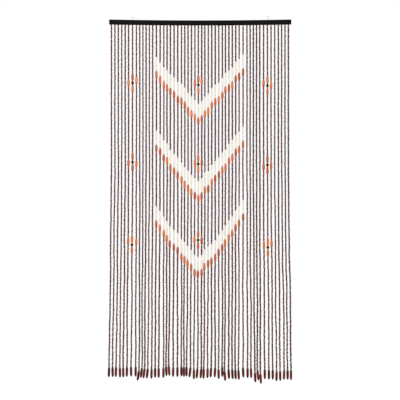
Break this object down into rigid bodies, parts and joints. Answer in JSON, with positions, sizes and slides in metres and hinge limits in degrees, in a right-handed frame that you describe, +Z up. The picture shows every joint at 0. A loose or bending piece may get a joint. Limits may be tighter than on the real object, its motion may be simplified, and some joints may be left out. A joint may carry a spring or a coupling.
{
  "type": "bead curtain on a wooden slat",
  "caption": "Doorway curtain of wooden bead strands with chevrons and small flowers, hung from a painted slat by two screw eyes.",
  "frame": {"origin": "middle of the slat's back face", "axes": "+X to the right seen from the front, +Y out of the slat's back towards the wall, +Z up; the strands hang down -Z and the front faces -Y"},
  "size_m": [1.0138, 0.018, 2.0178],
  "materials": {
    "black_paint": "wood painted satin black",
    "steel": "bright plated steel wire",
    "brown_beads": "dark brown stained and varnished wood",
    "cream_beads": "cream painted wood",
    "orange_beads": "orange stained and varnished wood",
    "mahogany_beads": "dark mahogany stained and varnished wood",
    "black_beads": "black stained wood",
    "thread": "waxed dark thread"
  },
  "bodies": {
    "root": {"slat": "black_paint", "screw_eye_left": "steel", "screw_eye_right": "steel", "strands": "brown_beads"}
  },
  "joints": []
}
